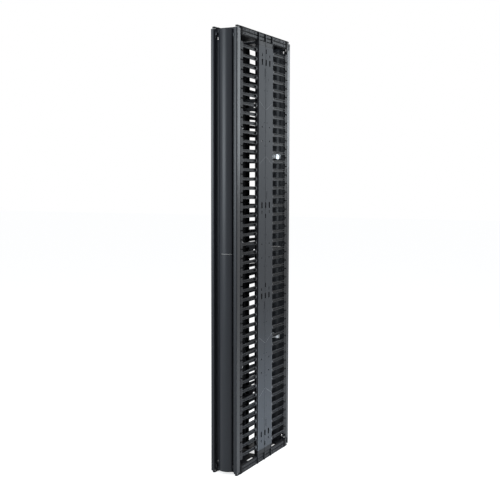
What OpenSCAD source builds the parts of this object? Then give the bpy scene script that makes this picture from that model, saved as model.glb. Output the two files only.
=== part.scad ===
// Double-sided vertical cable manager for a row of server racks.
// X is the width, Y the depth (front door towards -Y) and Z points up.
// The origin is the middle of the footprint, on the floor.

/* [Overall] */
// Rack units covered by the fingers, five modules to a column
rack_units = 45; // [35:5:50]
// Height from each end of the frame to the first rack unit
end_margin = 66.9; // [60:0.1:90]
// Width of a door and over the side rails
door_w = 140; // [120:1:280]
// Depth over the two closed doors
frame_d = 600; // [480:5:800]

/* [Spine] */
// Width of each spine channel along the depth
spine_w = 162; // [140:1:200]
// Depth of the spine flanges
spine_flange = 18; // [14:1:26]
// Sheet thickness of the spines and braces
spine_t = 2; // [1.5:0.1:3]
// Thickness of the spacers between a spine and a rail
spacer_t = 2; // [1:0.5:4]
// Width of a spine's foot straps over the rail
strap_w = 6; // [4:0.5:9]
// Height of the raised bead and lines on a side cover
bead_h = 0.8; // [0.5:0.1:1.2]
// Width of the centre bead on a side cover
bead_w = 6; // [4:0.5:9]
// Sheet thickness of the side covers
cover_t = 1.2; // [0.8:0.1:1.6]
// Height from the frame's end to the side cover
cover_end = 66; // [56:1:90]
// Width of the cable slots in a side cover
slot_w = 14; // [8:0.5:20]
// Height of the cable slots in a side cover
slot_h = 29; // [20:1:40]
// Radius of the paired fixing holes
pair_hole_r = 2.5; // [1.5:0.1:4]
// Distance between paired fixing holes
pair_hole_y = 28; // [20:1:40]
// Rise of a raised line from the centre bead to the cover's edge
line_rise = 40; // [20:1:60]
// Radius of the rack mounting holes
rack_hole_r = 4.5; // [3:0.1:5.5]
// Distance between rack mounting holes along the depth
rack_hole_y = 84; // [60:1:110]
// Distance between rack mounting holes up the spine
rack_hole_z = 68; // [44:1:90]
// Distance between the groups of rack mounting holes
rack_group_z = 577; // [400:1:650]
// Distance from the middle to the upper and lower brace
brace_z = 722; // [500:1:800]
// Height of a brace
brace_h = 60; // [40:1:80]

/* [Rails] */
// Height of a side rail
rail_h = 42; // [36:1:52]
// Width of a side rail
rail_w = 20; // [16:1:24]
// Wall of a side rail
rail_t = 4; // [3:0.1:5]
// Depth of the grooves in a rail's outer face
rail_groove = 2.2; // [0.5:0.1:2.5]
// Height of a groove in a rail's outer face
rail_groove_h = 6; // [3:0.5:8]
// Thickness of the end tab that holds the door pins
tab_t = 8; // [6:0.5:10]
// Distance from the door's face to the end of the tab
tab_inset = 10; // [6:0.5:11]
// Sheet thickness of the end plates between the rails
end_plate_t = 2; // [1.5:0.1:3]
// Depth of the lip at an end plate's inner edge
end_lip = 10; // [6:1:20]
// Length of the cable slot beside each rail
rail_slot_l = 70; // [40:1:90]

/* [Fingers] */
// Gap between the fingers' heads and a door's side wall
head_gap = 4; // [3:0.5:12]
// Height of a finger where it leaves the spine
finger_root_h = 17; // [12:0.5:22]
// Height of a finger behind its head
finger_tip_h = 12; // [8:0.5:16]
// Height of a finger's head
head_h = 39; // [30:0.5:41]
// Length of a finger's head
head_l = 22; // [16:1:34]
// Thickness of a finger across the frame
finger_w = 8; // [6:0.5:12]
// Wall of the finger's web and edges
finger_t = 2.4; // [1.6:0.1:3]
// Length of the solid root of a finger in front of its strip
root_l = 12; // [6:1:20]
// Width of the openings in the strip between the fingers
oval_w = 7; // [4:0.5:8]
// Corner radius at a finger's root and head
finger_r = 6; // [3:0.5:8]
// Width of the strip that carries the fingers
strip_w = 12; // [10:0.5:14]
// Thickness of the strip that carries the fingers
strip_t = 6; // [4:0.5:10]

/* [Doors] */
// Depth of a door's side walls
door_d = 34; // [30:1:36]
// Height left free between the frame's end and a door
door_gap = 11.5; // [10.5:0.1:14]
// Sheet thickness of the doors
door_t = 1.5; // [1:0.1:2]
// Width of the flat flange along each edge
flange_w = 17; // [16:0.5:24]
// Width of the groove beside each flange
groove_w = 18; // [14:0.5:26]
// Depth of the groove below the flange
groove_d = 26; // [22:0.5:27]
// Height of the bow of the middle panel
bow_h = 15; // [8:0.5:17]
// Outer bend radius along the door's edges
edge_r = 5; // [3:0.5:6]
// Width of the fold behind each side wall
fold_w = 7; // [4:0.5:8]
// Gap between the upper and lower middle panel
seam = 0.6; // [0.4:0.1:2]
// How far the middle panel stays short of the door's end
panel_short = 2.5; // [1:0.5:6]

/* [Slide bolts] */
// Radius of a door pin
pin_r = 4; // [3:0.1:4.5]
// Distance from the door's edge to a pin
pin_in = 9; // [8:0.1:10]
// Distance from the door's face to a pin
pin_depth = 18; // [17:0.1:19]
// Travel of a slide bolt
bolt_travel = 10; // [9.7:0.1:11]
// Length of a door pin
pin_l = 66; // [62:1:80]
// Radial clearance of a pin in its holes
pin_play = 0.05; // [0.02:0.01:0.09]
// Height of the bearing pad on a tab
pad_h = 3.2; // [1:0.1:3.2]
// Radius of the bearing pad on a tab
pad_r = 7; // [6:0.1:7.5]

/* [Hidden] */
U = 44.45;
MODULES = 5;
LAP = 1;

frame_h = rack_units * U + 2 * end_margin;
mid_z = frame_h / 2;
half_d = frame_d / 2;
half_door = door_w / 2;
spine_y = spine_w / 2;
web_x = half_door + spacer_t + spine_t;
bead_x = web_x + cover_t + bead_h;

units_per_module = rack_units / MODULES;
module_h = units_per_module * U;
finger_x = half_door - finger_w;
strip_x = half_door - strip_w;

pin_x = half_door - pin_in;
pin_y = -half_d + pin_depth;
pin_hole_r = pin_r + pin_play;
pin_end = 2;
cover_inset = 2;
strap_end = 2;
rail_end = half_d - door_d - head_gap;
finger_l = rail_end - spine_y;
rail_x = half_door - rail_w;
tab_y = -half_d + tab_inset;
tab_half_w = pin_in - 2;

groove_x = half_door - flange_w;
panel_x = groove_x - groove_w;
bow_base = bow_h + 1;
bow_r = (panel_x * panel_x + bow_h * bow_h) / (2 * bow_h);

lever_z = 34;
collar_h = 10;
plate_t = 2;
guide_z = 52;
arm_t = 5;
arm_h = 8;
notch_w = 13;
notch_h = 34;

METAL = "#34363b";
COVER = "#3c3f46";
PLASTIC = "#2b2d31";
STEEL = "#b9bcc0";

ENDS = ["bottom", "top"];
SIDES = ["left", "right"];
FACES = ["front", "rear"];

// Points on an arc about c, radius r, from angle a to angle b
function arc(c, r, a, b, n = 4) =
    [for (i = [0:n]) c + r * [cos(a + (b - a) * i / n), sin(a + (b - a) * i / n)]];

// A list of points mirrored about the first axis and taken backwards
function flipped(points) =
    [for (i = [len(points) - 1:-1:0]) [points[i][0], -points[i][1]]];

// Children on the left (-X) or right (+X) side
module at_side(s) {
    if (s == "left") mirror([1, 0, 0]) children();
    else children();
}

// Children at the bottom or, turned over, at the top
module at_end(e) {
    if (e == "top") translate([0, 0, frame_h]) mirror([0, 0, 1]) children();
    else children();
}

// Children, drawn at the rear, mirrored to the front
module at_face(f) {
    if (f == "front") mirror([0, 1, 0]) children();
    else children();
}

// A door's parts are drawn at the front; the rear door is the same one, turned
module door_face(f) {
    if (f == "rear") rotate([0, 0, 180]) children();
    else children();
}

// Block between two corners
module block(low, high) {
    translate(low) cube(high - low);
}

// ---- Frame ----

// Bottom right side rail: a C section open inwards, with a pinned tab at both ends
module side_rail() {
    difference() {
        union() {
            block([rail_x, -rail_end, 0], [half_door, rail_end, rail_h]);
            for (f = FACES) at_face(f) end_tab();
        }
        block([rail_x - LAP, -rail_end + rail_t, rail_t],
              [half_door - rail_t, rail_end - rail_t, rail_h - rail_t]);
        for (i = [0:2]) {
            z = i * (rail_h - rail_groove_h) / 2;
            block([half_door - rail_groove, -rail_end - LAP, z - (i == 0 ? LAP : 0)],
                  [half_door + LAP, rail_end + LAP, z + rail_groove_h + (i == 2 ? LAP : 0)]);
        }
        for (f = FACES) at_face(f) {
            rail_slot();
            translate([pin_x, -pin_y, -LAP]) cylinder(r = pin_hole_r, h = tab_t + 2 * LAP, $fn = 48);
        }
    }
}

// Tab, drawn at the rear, that reaches over the door's end
module end_tab() {
    corner_r = 5;
    side = half_door - 2;
    inner = pin_x - tab_half_w;
    tip = -tab_y;
    outline = concat(
        [[inner, rail_end - LAP], [side, rail_end - LAP]],
        arc([side - corner_r, tip - corner_r], corner_r, 0, 90),
        arc([inner + corner_r, tip - corner_r], corner_r, 90, 180));
    linear_extrude(tab_t) polygon(outline);
}

module rail(e, s) color(METAL) at_end(e) at_side(s) side_rail();

// Cable slot beside a rail's wall, drawn at the rear, through the rail's flanges and the end plate
module rail_slot() {
    y0 = spine_y + strip_t + 12;
    block([rail_x - LAP, y0, -LAP], [half_door - rail_t, y0 + rail_slot_l, rail_h + LAP]);
}

// Folded plate that closes a cable channel's end, held under the rails' upper flanges
module end_plate() {
    reach = half_door - rail_t;
    top = rail_h - rail_t;
    near = spine_y / 2;
    far = rail_end - rail_t;
    difference() {
        union() {
            block([-reach, near, top - end_plate_t], [reach, far, top]);
            block([-reach, near, top - end_lip], [reach, near + end_plate_t, top]);
            block([-reach, far - end_plate_t, rail_t], [reach, far, top]);
        }
        for (s = SIDES) at_side(s) rail_slot();
    }
}

module end_plates(e) color(METAL) at_end(e) for (f = FACES) at_face(f) end_plate();

// Lowest wide slot of each group above the frame's middle and above the cover's end, and the
// dimples above that slot
GROUP_MID = 212;
GROUP_END = 61;
DIMPLE_UP = 95;

// Heights above the frame's middle: the paired holes and the two raised lines of the upper half
PAIR_HOLES = [78, 361, 518, 633, 789];
LINES = [466, 693];

// Children, drawn once for a half of the spine, and again turned about its middle
module both_halves() {
    children();
    translate([0, 0, frame_h]) rotate([180, 0, 0]) children();
}

// Section drawn as depth and height, extruded across the frame from x0 to x1
module across(x0, x1, y = 0) {
    translate([x0, y, 0]) rotate([90, 0, 90]) linear_extrude(x1 - x0) children();
}

// An upright slot through a spine and its cover, its middle at y, from z to z + h
module slot(y, z, w, h) {
    block([web_x - spine_t - LAP, y - w / 2, z], [bead_x + LAP, y + w / 2, z + h]);
}

// Round hole along X from x0 through the cover's face
module side_hole(y, z, r, x0 = web_x - spine_t - LAP) {
    translate([x0, y, z]) rotate([0, 90, 0]) cylinder(r = r, h = bead_x + LAP - x0, $fn = 32);
}

// Group of cable slots: three wide ones, two small, one in the middle and a thin one above
module slot_group(z) {
    step = slot_h + 14;
    for (y = [-rack_hole_y / 2, 0, rack_hole_y / 2]) slot(y, z, slot_w, slot_h);
    for (y = [-rack_hole_y / 2, rack_hole_y / 2]) slot(y, z - 27, slot_w / 2, 15);
    slot(0, z - 50, slot_w - 3, 22);
    slot(pair_hole_y / 2 - 2, z + step, slot_w / 3, step - 3);
}

// What passes through both a spine and its cover: two groups and the paired holes of one half
module half_cuts() {
    slot_group(mid_z + GROUP_MID);
    slot_group(cover_end + GROUP_END);
    for (dz = PAIR_HOLES, y = [-1, 1]) side_hole(y * pair_hole_y / 2, mid_z + dz, pair_hole_r);
}

module rack_holes() {
    for (g = [-1, 0, 1], y = [-1, 1], z = [-1, 1])
        side_hole(y * rack_hole_y / 2, mid_z + g * rack_group_z + z * rack_hole_z / 2, rack_hole_r);
}

module spine_cuts() {
    both_halves() half_cuts();
    rack_holes();
}

// Right spine: a C channel open inwards, standing between the side rails
module spine_channel() {
    bend = 3;
    inner_x = web_x - spine_flange;
    outer = concat([[inner_x, -spine_y]], arc([web_x - bend, -spine_y + bend], bend, -90, 0));
    hollow = concat([[inner_x, -spine_y + spine_t]],
        arc([web_x - bend, -spine_y + bend], bend - spine_t, -90, 0));
    translate([0, 0, rail_h]) linear_extrude(frame_h - 2 * rail_h)
        polygon(concat(outer, flipped(outer), [for (p = hollow) [p[0], -p[1]]],
            [for (i = [len(hollow) - 1:-1:0]) hollow[i]]));
}

// Place along the depth of the three foot straps
STRAPS = [-1, 0, 1] * (spine_y - cover_inset - strap_w / 2);

// Straps that carry a spine's foot over the rail, up to the cover's end
module foot_straps() {
    for (y = STRAPS)
        block([web_x - spine_t, y - strap_w / 2, strap_end], [web_x + cover_t, y + strap_w / 2, cover_end - strap_end / 4]);
}

module spine(s) color(METAL) at_side(s) difference() {
    union() {
        spine_channel();
        for (e = ENDS) at_end(e) foot_straps();
    }
    spine_cuts();
}

// Raised line on the cover: a wide V with its point on the centre bead at z, its arms rising by rise
module raised_line(z, rise) {
    reach = spine_y - cover_inset;
    across(web_x + cover_t - bead_h / 2, web_x + cover_t + bead_h / 2)
        polygon([[0, z], [reach, z + rise], [reach, z + rise + bead_w / 2], [0, z + bead_w / 2],
                 [-reach, z + rise + bead_w / 2], [-reach, z + rise]]);
}

module spine_cover(s) color(COVER) at_side(s) difference() {
    union() {
        block([web_x, -spine_y + cover_inset, cover_end],
              [web_x + cover_t, spine_y - cover_inset, frame_h - cover_end]);
        block([web_x + cover_t - bead_h / 2, -bead_w / 2, cover_end],
              [bead_x, bead_w / 2, frame_h - cover_end]);
        both_halves() {
            raised_line(mid_z + LINES[0], -line_rise);
            raised_line(mid_z + LINES[1], line_rise);
        }
    }
    spine_cuts();
    // Dimples above each group of slots
    both_halves() for (z = [mid_z + GROUP_MID, cover_end + GROUP_END], y = [-1, 1])
        side_hole(y * rack_hole_y * 2 / 7, z + DIMPLE_UP, 2 * pair_hole_r, web_x + cover_t / 2);
}

// Brace between the two spines: a channel with end plates and two oblong openings
module brace(z) {
    reach = web_x - spine_t;
    plate_y = 50;
    lip = 20;
    opening_h = brace_h - 32;
    translate([0, 0, z]) difference() {
        union() {
            block([-reach, -lip / 2, -brace_h / 2], [reach, lip / 2, brace_h / 2]);
            for (s = SIDES) at_side(s)
                block([reach - spine_t, -plate_y / 2, -brace_h / 2], [reach, plate_y / 2, brace_h / 2]);
        }
        block([-reach + spine_t, -lip / 2 + spine_t, -brace_h / 2 + spine_t],
              [reach - spine_t, lip / 2 + LAP, brace_h / 2 - spine_t]);
        for (s = SIDES) at_side(s) block([12, -lip, -opening_h / 2], [reach - 14, lip, opening_h / 2]);
    }
}

module spine_braces() color(METAL) for (dz = [-brace_z, 0, brace_z]) brace(mid_z + dz);

// Spacers between the rails' outer faces and the straps of the spines
module rail_spacers() color(METAL) for (e = ENDS, s = SIDES, y = STRAPS) at_end(e) at_side(s)
    block([half_door, y - strap_w / 2, rail_groove_h / 2],
          [web_x - spine_t, y + strap_w / 2, rail_h - rail_groove_h / 2]);

// Bearing pads between the tabs and the doors' ends
module door_pads() color(STEEL) for (e = ENDS, f = FACES, s = SIDES) at_end(e) at_side(s) at_face(f)
    translate([pin_x, -pin_y, tab_t]) difference() {
        cylinder(r = pad_r, h = pad_h, $fn = 48);
        translate([0, 0, -LAP]) cylinder(r = pin_hole_r, h = pad_h + 2 * LAP, $fn = 48);
    }

// ---- Fingers ----

// Lower edge of one finger from its strip to its end, about its own middle line
function finger_edge() =
    let (root = finger_root_h / 2, tip = finger_tip_h / 2, r = finger_r, half = head_h / 2,
         head = finger_l - head_l)
    concat(
        arc([strip_t + r, -root - r], r, 180, 90, 3),
        arc([head - r, -tip - r], r, 90, 0, 3),
        arc([head + r / 2, -half + r / 2], r / 2, 180, 270, 2),
        arc([finger_l - r, -half + r], r, 270, 360, 3));

function finger_outline() = concat(finger_edge(), flipped(finger_edge()));

// Recess in the outer side of a finger's arm
function arm_recess() =
    let (a = strip_t + root_l, b = finger_l - head_l - finger_r / 2,
         ra = finger_root_h / 2 - finger_t, rb = finger_tip_h / 2 - finger_t)
    [[a, -ra], [b, -rb], [b, rb], [a, ra]];

// Recess in the inner side of a finger's head
function head_recess() =
    let (a = finger_l - head_l + finger_t, b = finger_l - finger_t, h = head_h / 2 - finger_t, c = 4)
    [[a, -h + c], [a + c, -h], [b - c, -h], [b, -h + c], [b, h - c], [b - c, h], [a + c, h], [a, h - c]];

function moved(points, dz) = [for (p = points) [p[0], p[1] + dz]];

function finger_z(i) = (i + 0.5) * U;

// Opening in the strip between two fingers, a slot with round ends across the strip
module strip_opening(z) {
    r = oval_w / 2;
    half = (U - finger_root_h - finger_r) / 2 - r;
    translate([strip_x + 1.5 + r, spine_y - LAP, z]) rotate([-90, 0, 0]) linear_extrude(strip_t + 2 * LAP)
        polygon(concat(arc([0, half], r, 0, 180, 6), arc([0, -half], r, 180, 360, 6)));
}

// One module of fingers on the rear right: strip, arms with open webs and T heads
module finger_module() {
    n = units_per_module;
    gap = 0.25;
    comb = concat([[0, gap], [strip_t, gap]],
        [for (i = [0:n - 1], p = moved(finger_outline(), finger_z(i))) p],
        [[strip_t, module_h - gap], [0, module_h - gap]]);
    difference() {
        union() {
            across(finger_x, half_door, spine_y) polygon(comb);
            block([strip_x, spine_y, gap], [half_door, spine_y + strip_t, module_h - gap]);
        }
        across(finger_x + finger_t, half_door + LAP, spine_y)
            for (i = [0:n - 1]) polygon(moved(arm_recess(), finger_z(i)));
        across(finger_x - LAP, half_door - finger_t, spine_y)
            for (i = [0:n - 1]) polygon(moved(head_recess(), finger_z(i)));
        for (i = [1:n - 1]) strip_opening(i * U);
    }
}

module fingers(f, s, m) color(PLASTIC) at_face(f) at_side(s)
    translate([0, 0, end_margin + (m - 1) * module_h]) finger_module();

// ---- Doors ----

// Right stile's section, as x and depth from the door's face: side wall, flange and groove
function stile_section() =
    let (t = door_t, h = half_door, er = edge_r, gr = 4, g = groove_x, fl = panel_x - 5)
    concat(
        [[h - fold_w - t, door_d], [h, door_d]],
        arc([h - er, er], er, 0, -90),
        arc([g + gr, gr], gr, -90, -180),
        [[g, groove_d], [fl, groove_d], [fl, groove_d + t], [g + t, groove_d + t]],
        arc([g + gr, gr], gr - t, 180, 270),
        arc([h - er, er], er - t, -90, 0),
        [[h - t, door_d - t], [h - fold_w - t, door_d - t]]);

// Stile on the right of the front door, with a window to each bolt and a hole in the groove
module stile_body(s) {
    translate([0, -half_d, door_gap]) difference() {
        linear_extrude(frame_h - 2 * door_gap) polygon(stile_section());
        for (e = ENDS) translate([0, 0, -door_gap]) at_end(e) {
            block([groove_x - LAP, pin_depth - arm_t / 2 - 1, lever_z - arm_h / 2 - 1],
                  [groove_x + door_t + LAP, pin_depth + arm_t / 2 + 1, lever_z + arm_h / 2 + bolt_travel + 1]);
            block([groove_x - groove_w / 2 - 2.5, groove_d - LAP, guide_z - 3],
                  [groove_x - groove_w / 2 + 2.5, groove_d + door_t + LAP, guide_z + 7]);
            // Notch that shows the hinge pin
            if (s == "left") block([half_door - door_t - LAP, pin_depth - notch_w / 2, door_gap - LAP],
                                   [half_door + LAP, pin_depth + notch_w / 2, door_gap + notch_h]);
        }
    }
}

module stile(f, s) color(METAL) door_face(f) at_side(s) stile_body(s);

// Bowed middle panel from z0 to z1: an arched sheet with a side wall down to each groove floor
module bowed_panel(z0, z1) {
    wall_top = bow_base + 1;
    translate([0, -half_d, z0]) {
        intersection() {
            translate([0, 1 + bow_r, 0]) difference() {
                cylinder(r = bow_r, h = z1 - z0, $fn = 128);
                translate([0, 0, -LAP]) cylinder(r = bow_r - door_t, h = z1 - z0 + 2 * LAP, $fn = 128);
            }
            block([-panel_x, 0, 0], [panel_x, bow_base + 4, z1 - z0]);
        }
        for (s = SIDES) at_side(s)
            block([panel_x - door_t, wall_top, 0], [panel_x, groove_d, z1 - z0]);
    }
}

module door_panel(f, p) {
    end = door_gap + panel_short;
    color(METAL) door_face(f) {
        if (p == "lower") bowed_panel(end, mid_z - seam / 2);
        else bowed_panel(mid_z + seam / 2, frame_h - end);
    }
}

// Plate across the back of the stiles, with an ear in each that guides a pin
module tie_plate(z) {
    translate([0, -half_d, z]) difference() {
        union() {
            block([-half_door + door_t, groove_d + door_t, 0], [half_door - door_t, door_d - door_t, plate_t]);
            for (s = SIDES) at_side(s)
                block([groove_x + door_t, edge_r + 1, 0], [half_door - door_t, door_d - door_t, plate_t]);
        }
        for (s = SIDES) at_side(s) translate([pin_x, pin_depth, -LAP])
            cylinder(r = pin_hole_r, h = plate_t + 2 * LAP, $fn = 48);
    }
}

module door_tie_plates(f) color(METAL) door_face(f) {
    for (e = ENDS) at_end(e) {
        tie_plate(door_gap);
        tie_plate(guide_z);
    }
    tie_plate(mid_z - plate_t / 2);
}

// Slide bolt at the bottom right, engaged: pin, collar, arm and thumb tab
module slide_bolt() {
    tab_x = groove_x - groove_w / 3;
    translate([0, -half_d, 0]) {
        translate([pin_x, pin_depth, pin_end]) cylinder(r = pin_r, h = pin_l, $fn = 48);
        translate([pin_x, pin_depth, lever_z - collar_h / 2]) cylinder(r = pin_r + 1.5, h = collar_h, $fn = 48);
        block([tab_x, pin_depth - arm_t / 2, lever_z - arm_h / 2], [pin_x, pin_depth + arm_t / 2, lever_z + arm_h / 2]);
        block([tab_x - 2.5, pin_depth - 8, lever_z - 7], [tab_x, pin_depth + 4, lever_z + 7]);
    }
}

// The left bolts are engaged and form the hinge; the right ones rest drawn back
module door_bolt(f, e, s) color(STEEL) door_face(f) at_end(e) at_side(s)
    translate([0, 0, s == "right" ? bolt_travel : 0]) slide_bolt();

for (e = ENDS, s = SIDES)
    rail(e, s);
for (e = ENDS)
    end_plates(e);
for (s = SIDES)
    spine(s);
for (s = SIDES)
    spine_cover(s);
spine_braces();
rail_spacers();
door_pads();
for (f = FACES, s = SIDES, m = [1:MODULES])
    fingers(f, s, m);
for (f = FACES, s = SIDES)
    stile(f, s);
for (f = FACES, p = ["lower", "upper"])
    door_panel(f, p);
for (f = FACES)
    door_tie_plates(f);
for (f = FACES, e = ENDS, s = SIDES)
    door_bolt(f, e, s);
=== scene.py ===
import math

import bmesh
import bpy
from mathutils import Euler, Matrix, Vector
from mathutils.bvhtree import BVHTree


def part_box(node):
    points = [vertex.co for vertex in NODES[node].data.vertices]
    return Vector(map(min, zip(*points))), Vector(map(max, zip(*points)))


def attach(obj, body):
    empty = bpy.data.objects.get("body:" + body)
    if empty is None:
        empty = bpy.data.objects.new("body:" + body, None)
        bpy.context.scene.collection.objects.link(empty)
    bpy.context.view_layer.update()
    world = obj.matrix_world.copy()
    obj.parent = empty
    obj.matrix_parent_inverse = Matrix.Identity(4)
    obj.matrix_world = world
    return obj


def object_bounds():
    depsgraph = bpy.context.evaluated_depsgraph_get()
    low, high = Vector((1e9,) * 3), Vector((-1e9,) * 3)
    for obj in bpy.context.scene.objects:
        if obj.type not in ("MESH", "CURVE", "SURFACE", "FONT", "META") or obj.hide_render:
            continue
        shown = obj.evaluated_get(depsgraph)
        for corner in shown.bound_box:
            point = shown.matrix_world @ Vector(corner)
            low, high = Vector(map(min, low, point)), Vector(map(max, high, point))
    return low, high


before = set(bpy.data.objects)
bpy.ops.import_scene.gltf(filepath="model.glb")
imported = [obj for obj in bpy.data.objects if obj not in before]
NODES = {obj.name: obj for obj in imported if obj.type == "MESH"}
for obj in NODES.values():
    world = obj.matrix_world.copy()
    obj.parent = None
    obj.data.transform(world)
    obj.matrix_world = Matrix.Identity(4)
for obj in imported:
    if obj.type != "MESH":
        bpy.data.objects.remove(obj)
cad_low, cad_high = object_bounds()

SCENE = bpy.context.scene
SCENE.view_settings.view_transform = "Standard"

# Faces and sides with their signs on Y and X
FACES = (("front", -1), ("rear", 1))
SIDES = (("left", -1), ("right", 1))
ENDS = ("bottom", "top")
UNIT = 0.04445  # one rack unit, the pitch of the fingers
MODULES = 5  # finger modules in each column


# ---- Materials ----

def new_material(name):
    mat = bpy.data.materials.new(name)
    mat.use_nodes = True
    tree = mat.node_tree
    tree.nodes.clear()
    out = tree.nodes.new("ShaderNodeOutputMaterial")
    shader = tree.nodes.new("ShaderNodeBsdfPrincipled")
    tree.links.new(shader.outputs["BSDF"], out.inputs["Surface"])
    return mat, tree, shader


def add(tree, kind, **values):
    """A new shader node with its attributes and input values set."""
    n = tree.nodes.new(kind)
    for key, value in values.items():
        if hasattr(n, key):
            setattr(n, key, value)
        else:
            n.inputs[key.replace("_", " ")].default_value = value
    return n


def noise(tree, coords, scale, detail=3.0, stretch=(1, 1, 1)):
    mapping = add(tree, "ShaderNodeMapping")
    mapping.inputs["Scale"].default_value = stretch
    tree.links.new(coords, mapping.inputs["Vector"])
    n = add(tree, "ShaderNodeTexNoise")
    n.inputs["Scale"].default_value = scale
    n.inputs["Detail"].default_value = detail
    tree.links.new(mapping.outputs["Vector"], n.inputs["Vector"])
    return n.outputs["Fac"]


def ramp(tree, fac, low, high, a, b):
    """Fac between low and high, spread over the values a to b."""
    r = add(tree, "ShaderNodeMapRange")
    r.inputs["From Min"].default_value = low
    r.inputs["From Max"].default_value = high
    r.inputs["To Min"].default_value = a
    r.inputs["To Max"].default_value = b
    tree.links.new(fac, r.inputs["Value"])
    return r.outputs["Result"]


def mix(tree, fac, a, b):
    """Colour a where fac is 0, colour b where it is 1."""
    m = add(tree, "ShaderNodeMix", data_type="RGBA")
    m.inputs["A"].default_value = (*a, 1)
    m.inputs["B"].default_value = (*b, 1)
    tree.links.new(fac, m.inputs["Factor"])
    return m.outputs["Result"]


def edge_mask(tree):
    """Bright on edges, from the bevelled normal against the true one."""
    bevel = add(tree, "ShaderNodeBevel", samples=4)
    bevel.inputs["Radius"].default_value = 0.0009
    geometry = add(tree, "ShaderNodeNewGeometry")
    dot = add(tree, "ShaderNodeVectorMath", operation="DOT_PRODUCT")
    tree.links.new(bevel.outputs["Normal"], dot.inputs[0])
    tree.links.new(geometry.outputs["True Normal"], dot.inputs[1])
    return ramp(tree, dot.outputs["Value"], 0.99, 0.86, 0.0, 1.0)


def painted(name, colour, edge_wear_and_highlight, rough, gloss, grain, bump_mm):
    """Powder coat or moulded plastic: fine peel, slow colour drift and lighter edges, partly edge wear and
    partly a painted highlight along the edges.
    """
    mat, tree, shader = new_material(name)
    coords = add(tree, "ShaderNodeTexCoord").outputs["Object"]
    peel = noise(tree, coords, grain, 2.0)
    cloud = noise(tree, coords, 5.0, 4.0, (1, 1, 0.35))
    dark = tuple(c * 0.86 for c in colour)
    base = mix(tree, ramp(tree, cloud, 0.3, 0.7, 0.0, 1.0), dark, colour)

    # Lighter colour on the edges: part edge wear, part a painted highlight along them
    edges = add(tree, "ShaderNodeMix", data_type="RGBA")
    tree.links.new(base, edges.inputs["A"])
    edges.inputs["B"].default_value = (*edge_wear_and_highlight, 1)
    edge_patches = noise(tree, coords, 60.0, 5.0)
    mask = add(tree, "ShaderNodeMath", operation="MULTIPLY")
    tree.links.new(edge_mask(tree), mask.inputs[0])
    tree.links.new(ramp(tree, edge_patches, 0.35, 0.65, 0.25, 0.8), mask.inputs[1])
    tree.links.new(mask.outputs["Value"], edges.inputs["Factor"])
    tree.links.new(edges.outputs["Result"], shader.inputs["Base Color"])

    roughness = ramp(tree, cloud, 0.25, 0.75, rough - 0.04, rough + 0.05)
    tree.links.new(roughness, shader.inputs["Roughness"])
    shader.inputs["Specular IOR Level"].default_value = gloss

    rounded = add(tree, "ShaderNodeBevel", samples=4)
    rounded.inputs["Radius"].default_value = 0.0007
    bump = add(tree, "ShaderNodeBump")
    bump.inputs["Strength"].default_value = 0.6
    bump.inputs["Distance"].default_value = bump_mm / 1000
    tree.links.new(rounded.outputs["Normal"], bump.inputs["Normal"])
    tree.links.new(peel, bump.inputs["Height"])
    tree.links.new(bump.outputs["Normal"], shader.inputs["Normal"])
    return mat


def plated(name, colour, rough):
    """Zinc plated steel with fine lengthwise drawing marks."""
    mat, tree, shader = new_material(name)
    coords = add(tree, "ShaderNodeTexCoord").outputs["Object"]
    marks = noise(tree, coords, 900.0, 2.0, (1, 1, 0.04))
    cloud = noise(tree, coords, 40.0, 3.0)
    dark = tuple(c * 0.8 for c in colour)
    base = mix(tree, ramp(tree, cloud, 0.3, 0.7, 0.0, 1.0), dark, colour)
    tree.links.new(base, shader.inputs["Base Color"])
    roughness = ramp(tree, marks, 0.3, 0.7, rough - 0.06, rough + 0.1)
    tree.links.new(roughness, shader.inputs["Roughness"])
    shader.inputs["Metallic"].default_value = 1.0
    bump = add(tree, "ShaderNodeBump")
    bump.inputs["Strength"].default_value = 0.3
    bump.inputs["Distance"].default_value = 0.00004
    tree.links.new(marks, bump.inputs["Height"])
    tree.links.new(bump.outputs["Normal"], shader.inputs["Normal"])
    return mat


DOOR = painted("door_coat", (0.0185, 0.0205, 0.0245), edge_wear_and_highlight=(0.10, 0.105, 0.115),
               rough=0.33, gloss=0.2, grain=1400.0, bump_mm=0.02)
FRAME = painted("frame_coat", (0.0105, 0.0112, 0.0135), edge_wear_and_highlight=(0.07, 0.075, 0.08),
                rough=0.45, gloss=0.1, grain=1400.0, bump_mm=0.02)
COVER = painted("cover_coat", (0.034, 0.0385, 0.046), edge_wear_and_highlight=(0.16, 0.165, 0.17),
                rough=0.55, gloss=0.18, grain=1400.0, bump_mm=0.02)
# A lighter copy of the cover coat: painted highlight on the cover hems and bead crests
PAINTED_HIGHLIGHT = painted("painted_highlight_coat", (0.11, 0.118, 0.132), edge_wear_and_highlight=(0.22, 0.225, 0.23),
              rough=0.45, gloss=0.3, grain=1400.0, bump_mm=0.02)
PLASTIC = painted("finger_plastic", (0.0105, 0.0112, 0.0136), edge_wear_and_highlight=(0.2, 0.205, 0.215),
                  rough=0.5, gloss=0.13, grain=2200.0, bump_mm=0.015)
# Black plastic for the rail caps and slot shutters; on the groove strips it is painted shade
BLACK = painted("black_plastic_and_groove_shade", (0.0035, 0.0035, 0.0042), edge_wear_and_highlight=(0.012, 0.012, 0.013),
                rough=0.6, gloss=0.05, grain=2200.0, bump_mm=0.015)
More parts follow.
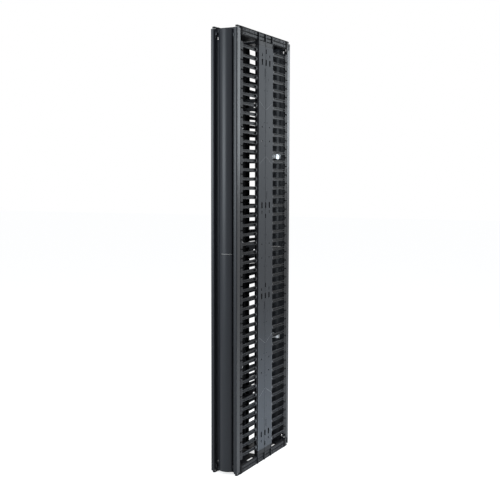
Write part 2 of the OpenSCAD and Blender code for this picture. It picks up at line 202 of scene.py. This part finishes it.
# Light grey rivet heads: a painted highlight at each finger root
RIVET = painted("rivet_highlight_grey", (0.09, 0.094, 0.102), edge_wear_and_highlight=(0.16, 0.165, 0.17),
                rough=0.45, gloss=0.25, grain=2600.0, bump_mm=0.01)
NYLON = painted("pad_nylon", (0.55, 0.55, 0.52), edge_wear_and_highlight=(0.62, 0.62, 0.6),
                rough=0.5, gloss=0.5, grain=1800.0, bump_mm=0.02)
STEEL = plated("black_zinc", (0.06, 0.062, 0.068), rough=0.42)
BRIGHT = plated("zinc_plate", (0.62, 0.64, 0.66), rough=0.32)


def finish_nodes():
    """Gives each carried-over solid its material."""
    for name, obj in NODES.items():
        if "_fingers_" in name:
            mat = PLASTIC
        elif "_door_bolt_" in name:
            mat = STEEL
        elif "_door_" in name:
            mat = DOOR
        elif name == "door_pads":
            mat = NYLON
        elif name.startswith("spine_cover"):
            mat = COVER
        else:
            mat = FRAME
        obj.data.materials.clear()
        obj.data.materials.append(mat)


# ---- Mesh helpers ----

def side_of(node, axis, sign):
    """Coordinate of a node's highest side along axis if sign is positive, otherwise its lowest."""
    low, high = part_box(node)
    return high[axis] if sign > 0 else low[axis]


def piece(name, bm, mat, body):
    """Turns bm into a smooth-shaded object that rides on body."""
    mesh = bpy.data.meshes.new(name)
    bmesh.ops.recalc_face_normals(bm, faces=bm.faces)
    bm.to_mesh(mesh)
    bm.free()
    obj = bpy.data.objects.new(name, mesh)
    SCENE.collection.objects.link(obj)
    mesh.materials.append(mat)
    mesh.shade_smooth()
    mesh.set_sharp_from_angle(angle=math.radians(35))
    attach(obj, body)
    return obj


def hexagon(angle):
    """Distance to the edge of a hexagon of inner radius 1 in this direction."""
    step = math.pi / 3
    return 1 / math.cos((angle % step) - step / 2)


def head(bm, place, out, radius, height, socket=0.45, sides=24):
    """A screw or rivet head on a surface at place, facing out; a hexagon socket if socket isn't 0."""
    out = Vector(out).normalized()
    side = out.orthogonal().normalized()
    up = out.cross(side)
    # Radius, height and whether the ring is a hexagon
    rings = [(radius, 0, False), (radius, height * 0.45, False),
             (radius * 0.9, height * 0.8, False), (radius * 0.66, height, False)]
    if socket:
        rings += [(radius * socket * 1.12, height, True), (radius * socket, height * 0.9, True),
                  (radius * socket, height * 0.25, True)]
    else:
        rings += [(radius * 0.3, height * 1.05, False)]
    loops = []
    for r, h, is_hexagon in rings:
        loop = []
        for i in range(sides):
            a = 2 * math.pi * i / sides
            reach = r * (hexagon(a) if is_hexagon else 1)
            spot = Vector(place) + side * reach * math.cos(a) + up * reach * math.sin(a) + out * h
            loop.append(bm.verts.new(spot))
        loops.append(loop)
    for a, b in zip(loops, loops[1:]):
        for i in range(sides):
            j = (i + 1) % sides
            bm.faces.new((a[i], a[j], b[j], b[i]))
    bm.faces.new(loops[0][::-1])
    bm.faces.new(loops[-1])


def sweep(bm, outline, start, end):
    """A closed outline of offsets, drawn along a straight line from start to end."""
    start, end = Vector(start), Vector(end)
    near = [bm.verts.new(start + Vector(p)) for p in outline]
    far = [bm.verts.new(end + Vector(p)) for p in outline]
    n = len(outline)
    for i in range(n):
        j = (i + 1) % n
        bm.faces.new((near[i], near[j], far[j], far[i]))
    bm.faces.new(near[::-1])
    bm.faces.new(far)


def rounded_block(bm, xs, ys, zs, radius, segments=2):
    """A block between two values on each axis, in any order, with all its edges rounded."""
    made = bmesh.ops.create_cube(bm, size=1)["verts"]
    low = [min(pair) for pair in (xs, ys, zs)]
    high = [max(pair) for pair in (xs, ys, zs)]
    for v in made:
        v.co = Vector([low[i] + (v.co[i] + 0.5) * (high[i] - low[i]) for i in range(3)])
    edges = list({e for v in made for e in v.link_edges})
    bmesh.ops.bevel(bm, geom=edges, offset=radius, segments=segments, affect="EDGES", profile=0.5)


# ---- Fine pieces on the frame ----

def finger_rivets():
    """A push-in rivet at the root of each finger, on its outer side, in a light grey that paints the
    highlight at each finger root.
    """
    from_root, radius, height = 0.011, 0.0042, 0.0012
    for face, ky in FACES:
        for side, kx in SIDES:
            bm = bmesh.new()
            for m in range(1, MODULES + 1):
                node = f"{face}_fingers_{side}_{m}"
                low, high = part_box(node)
                x = side_of(node, 0, kx)
                y = side_of(node, 1, -ky) + ky * from_root
                units = round((high[2] - low[2]) / UNIT)
                base = (low[2] + high[2] - units * UNIT) / 2
                for i in range(units):
                    head(bm, (x, y, base + (i + 0.5) * UNIT), (kx, 0, 0), radius, height, 0, 16)
            piece(f"finger_rivets_{face}_{side}", bm, RIVET, "frame")


def rail_screws():
    """Screws with hexagon sockets on the two bands between each rail's grooves."""
    radius, height = 0.0045, 0.0022
    for end in ENDS:
        for side, kx in SIDES:
            node = f"{end}_rail_{side}"
            low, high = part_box(node)
            bands = [low[2] + (high[2] - low[2]) * share for share in (0.28, 0.72)]
            outer = bands[0] if end == "bottom" else bands[1]
            places = ((0.216, bands[0]), (0.216, bands[1]), (0.172, outer), (0.116, outer))
            bm = bmesh.new()
            for ky in (-1, 1):
                for y, z in places:
                    head(bm, (side_of(node, 0, kx), ky * y, z), (kx, 0, 0), radius, height)
            piece(f"rail_screws_{end}_{side}", bm, STEEL, "frame")


def rail_caps():
    """Ribbed caps over both ends of each rail's grooved face."""
    y_near, y_far, gap = 0.2395, 0.2622, 0.0006
    rib_half_y, rib_half_z = 0.008, 0.001
    for end in ENDS:
        for side, kx in SIDES:
            node = f"{end}_rail_{side}"
            low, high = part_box(node)
            x = side_of(node, 0, kx)
            bm = bmesh.new()
            for ky in (-1, 1):
                rounded_block(bm, (x - kx * 0.003, x + kx * 0.0009), (ky * y_near, ky * y_far),
                              (low[2] + gap, high[2] - gap), 0.0008)
                y = ky * (y_near + y_far) / 2
                for share in (0.25, 0.5, 0.75):
                    z = low[2] + (high[2] - low[2]) * share
                    rounded_block(bm, (x + kx * 0.0002, x + kx * 0.0016),
                                  (y - rib_half_y, y + rib_half_y),
                                  (z - rib_half_z, z + rib_half_z), 0.0004, 1)
            piece(f"rail_caps_{end}_{side}", bm, BLACK, "frame")


def rail_groove_shade():
    """Crowned black strips in the three grooves of each rail's outer face: painted shade where the grooves
    fall dark.
    """
    groove_h, groove_d, rim_d, crown, gap = 0.006, 0.0022, 0.0014, 0.00096, 0.0001
    half_length = 0.2615
    for end in ENDS:
        for side, kx in SIDES:
            node = f"{end}_rail_{side}"
            low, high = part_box(node)
            bm = bmesh.new()
            for i in range(3):
                z0 = low[2] + i * (high[2] - low[2] - groove_h) / 2
                z1 = z0 + groove_h
                arc = [math.pi * j / 8 for j in range(1, 8)]
                outline = [(-kx * groove_d, 0, z0 + gap), (-kx * rim_d, 0, z0 + gap)]
                outline += [(-kx * (rim_d - crown * math.sin(a)), 0, z0 + groove_h / 2 - 0.0026 * math.cos(a))
                            for a in arc]
                outline += [(-kx * rim_d, 0, z1 - gap), (-kx * groove_d, 0, z1 - gap)]
                x = side_of(node, 0, kx)
                sweep(bm, outline, (x, -half_length, 0), (x, half_length, 0))
            piece(f"rail_groove_shade_{end}_{side}", bm, BLACK, "frame")


def cover_edges():
    """Half-round hem down both long edges of each side cover, in a lighter coat that paints a highlight along
    each edge.
    """
    r, root = 0.0013, 0.0004
    for side, kx in SIDES:
        low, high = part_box(f"spine_cover_{side}")
        x = side_of(f"spine_{side}", 0, kx) - kx * 0.0012
        bm = bmesh.new()
        for ky in (-1, 1):
            y = high[1] if ky > 0 else low[1]
            outline = [(kx * r * 1.25 * math.sin(a), ky * (-r + r * math.cos(a)), 0)
                       for a in (math.pi * i / 8 for i in range(9))]
            outline += [(-kx * root, -ky * 2 * r, 0), (-kx * root, 0, 0)]
            sweep(bm, outline, (x, y, low[2]), (x, y, high[2]))
        piece(f"cover_hem_{side}", bm, PAINTED_HIGHLIGHT, "frame")


def bead_highlights():
    """Thin crests in the lighter coat along the raised lines of each side cover, the wide V pairs and the
    centre bead: a painted highlight along each line.
    """
    reach, rise, crest = 0.0755, 0.04, 0.0012
    arc = [math.pi * i / 6 for i in range(7)]
    for side, kx in SIDES:
        node = f"spine_cover_{side}"
        low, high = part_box(node)
        middle = (low[2] + high[2]) / 2
        bm = bmesh.new()

        x = side_of(node, 0, kx) - kx * 0.0006
        outline = [(kx * 0.00045 * math.sin(a) - kx * 0.0001, 0, crest * math.cos(a)) for a in arc]
        for height, way in ((0.466, -1), (0.693, 1)):
            for turn in (1, -1):
                for ky in (-1, 1):
                    z = middle + turn * (height + 0.0015)
                    sweep(bm, outline, (x, 0, z), (x, ky * reach, z + turn * way * rise))

        x = side_of(node, 0, kx) - kx * 0.0004
        outline = [(kx * (0.00035 * math.sin(a) - 0.0001), 0.0022 - 0.0008 * math.cos(a), 0) for a in arc]
        for a, b in ((0.33, 0.78), (-0.78, -0.33)):
            sweep(bm, outline, (x, 0, middle + a), (x, 0, middle + b))
        piece(f"cover_crest_highlights_{side}", bm, PAINTED_HIGHLIGHT, "frame")


def slot_shutters():
    """Black ribbed plates inside the spines, behind each group of cable slots."""
    half_y, below, above = 0.056, 0.052, 0.092
    rib_count = 11
    for side, kx in SIDES:
        low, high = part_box(f"spine_{side}")
        web = side_of(f"spine_{side}", 0, kx) - kx * 0.0032
        middle = (low[2] + high[2]) / 2
        groups = (middle + 0.212, side_of(f"spine_cover_{side}", 2, -1) + 0.061)
        bm = bmesh.new()
        for z in groups:
            for turn in (1, -1):
                z0, z1 = sorted(middle + turn * (end - middle) for end in (z - below, z + above))
                rounded_block(bm, (web, web - kx * 0.0015), (-half_y, half_y), (z0, z1), 0.0006, 1)
                for i in range(rib_count):
                    y = -half_y + (i + 1) * 2 * half_y / (rib_count + 1)
                    rounded_block(bm, (web - kx * 0.001, web - kx * 0.0026), (y - 0.001, y + 0.001),
                                  (z0 + 0.003, z1 - 0.003), 0.0005, 1)
        piece(f"slot_shutters_{side}", bm, BLACK, "frame")


# ---- Fine pieces on the doors and bolts ----

def thumb_ribs():
    """Five grip ribs on the thumb tab of each slide bolt."""
    from_end, pitch, width, half_h = 0.032, 0.0028, 0.003, 0.0007
    for face, ky in FACES:
        for end in ENDS:
            for side, side_sign in SIDES:
                node = f"{face}_door_bolt_{end}_{side}"
                kx = -ky * side_sign  # the rear door is the front one turned half round
                x = side_of(node, 0, -kx)
                y = side_of(node, 1, ky)
                outward = -1 if end == "bottom" else 1
                middle = side_of(node, 2, outward) - outward * from_end
                bm = bmesh.new()
                for i in range(-2, 3):
                    z = middle + i * pitch
                    rounded_block(bm, (x, x + kx * width), (y - ky * 0.0006, y + ky * 0.0007),
                                  (z - half_h, z + half_h), 0.0003, 1)
                piece(f"{face}_bolt_ribs_{end}_{side}", bm, STEEL, f"{face}_bolt_{end}_{side}")


def inner_clips():
    """Spring clips for door tools, seated on the inner face of each door's bowed panel."""
    half, tall, sheet, wall, depth = 0.0225, 0.0135, 0.0016, 0.002, 0.0065
    for face, ky in FACES:
        bm = bmesh.new()
        middle = side_of(f"{face}_door_panel_lower", 2, 1)
        for panel_name, dz in (("lower", -0.478), ("upper", 0.478)):
            panel = bmesh.new()
            panel.from_mesh(NODES[f"{face}_door_panel_{panel_name}"].data)
            tree = BVHTree.FromBMesh(panel)
            z = middle + dz

            def seat(x):
                """Depth just off the panel's inner face at x."""
                return tree.ray_cast(Vector((x, 0, z)), Vector((0, ky, 0)))[0].y - ky * 0.0002

            xs = [half * (i / 6 - 1) for i in range(13)]
            outline = [(x, seat(x), 0) for x in xs]
            outline += [(x, seat(x) - ky * sheet, 0) for x in reversed(xs)]
            sweep(bm, outline, (0, 0, z - tall), (0, 0, z + tall))
            for kx in (-1, 1):
                y = seat(kx * half)
                rounded_block(bm, (kx * (half - wall), kx * half), (y, y - ky * depth),
                              (z - tall, z + tall), 0.0006)
                x = kx * 0.012
                head(bm, (x, seat(x) - ky * sheet, z), (0, -ky, 0), 0.0034, 0.0016)
            panel.free()
        piece(f"{face}_inner_clips", bm, BRIGHT, f"{face}_door")


# ---- Studio ----

def seen(tree):
    """1 for camera, glossy and transmission rays."""
    path = tree.nodes.new("ShaderNodeLightPath")
    total = path.outputs["Is Camera Ray"]
    for kind in ("Is Glossy Ray", "Is Transmission Ray"):
        both = add(tree, "ShaderNodeMath", operation="MAXIMUM")
        tree.links.new(total, both.inputs[0])
        tree.links.new(path.outputs[kind], both.inputs[1])
        total = both.outputs["Value"]
    return total


def background():
    """White behind the object for the camera, gloss and glass; a soft grey light elsewhere."""
    world = bpy.data.worlds.new("studio")
    SCENE.world = world
    world.use_nodes = True
    tree = world.node_tree
    tree.nodes.clear()
    out = tree.nodes.new("ShaderNodeOutputWorld")
    white = add(tree, "ShaderNodeBackground", Strength=1.0)
    white.inputs["Color"].default_value = (1, 1, 1, 1)
    soft = add(tree, "ShaderNodeBackground", Strength=0.5)
    soft.inputs["Color"].default_value = (0.96, 0.98, 1, 1)
    mixer = tree.nodes.new("ShaderNodeMixShader")
    tree.links.new(seen(tree), mixer.inputs["Fac"])
    tree.links.new(soft.outputs["Background"], mixer.inputs[1])
    tree.links.new(white.outputs["Background"], mixer.inputs[2])
    tree.links.new(mixer.outputs["Shader"], out.inputs["Surface"])


def floor():
    """Pale floor that reaches white where no shadow falls on it."""
    pale, glow_strength, size = 0.55, 0.72, 60
    mat, tree, shader = new_material("studio_floor")
    shader.inputs["Base Color"].default_value = (pale, pale, pale, 1)
    shader.inputs["Roughness"].default_value = 0.9
    shader.inputs["Specular IOR Level"].default_value = 0.0
    glow = add(tree, "ShaderNodeEmission")
    lift = add(tree, "ShaderNodeMath", operation="MULTIPLY")
    lift.inputs[1].default_value = glow_strength
    tree.links.new(seen(tree), lift.inputs[0])
    tree.links.new(lift.outputs["Value"], glow.inputs["Strength"])
    both = tree.nodes.new("ShaderNodeAddShader")
    out = next(n for n in tree.nodes if n.type == "OUTPUT_MATERIAL")
    tree.links.new(shader.outputs["BSDF"], both.inputs[0])
    tree.links.new(glow.outputs["Emission"], both.inputs[1])
    tree.links.new(both.outputs["Shader"], out.inputs["Surface"])
    bpy.ops.mesh.primitive_plane_add(size=size, location=(0, 0, cad_low[2] - 0.0005))
    plane = bpy.context.object
    plane.name = "floor"
    plane.data.materials.append(mat)


def camera():
    """The view: about 27 degrees to the right of the front door, from chest height."""
    sensor = 36.0
    focal_share = 895.5 / 500  # focal length in picture widths
    data = bpy.data.cameras.new("view")
    data.sensor_width = sensor
    data.lens = focal_share * sensor
    obj = bpy.data.objects.new("view", data)
    obj.location = (2.0094, -4.0190, 1.4062)
    turn = (90 - 4.315, -0.125, 26.704)
    obj.rotation_euler = Euler([math.radians(angle) for angle in turn])
    SCENE.collection.objects.link(obj)
    SCENE.camera = obj


def lamp(name, place, aim, size, power, spread=180):
    """A faintly blue softbox at place, turned to aim."""
    data = bpy.data.lights.new(name, "AREA")
    data.shape = "RECTANGLE"
    data.size, data.size_y = size
    data.energy = power
    data.color = (0.86, 0.94, 1.0)
    data.spread = math.radians(spread)
    obj = bpy.data.objects.new(name, data)
    obj.location = place
    obj.rotation_euler = (Vector(aim) - Vector(place)).to_track_quat("-Z", "Y").to_euler()
    SCENE.collection.objects.link(obj)


finish_nodes()
finger_rivets()
rail_screws()
rail_caps()
cover_edges()
bead_highlights()
thumb_ribs()
inner_clips()
rail_groove_shade()
slot_shutters()

background()
floor()
camera()
# The left box mirrors in the front door, the right box in the side; the low one lifts the foot
lamp("left_box", (-1.75, -3.8, 1.85), (0, 0, 1.4), (2.5, 1.6), 145)
lamp("right_box", (1.75, 3.75, 2.3), (0, 0, 1.6), (0.9, 1.6), 40)
lamp("low_box", (1.6, 0.2, 0.25), (0.076, 0, 0.12), (0.5, 0.3), 3.2, spread=50)
lamp("top_box", (0.9, -1.0, 4.4), (0, 0, 1.0), (2.0, 2.0), 55)
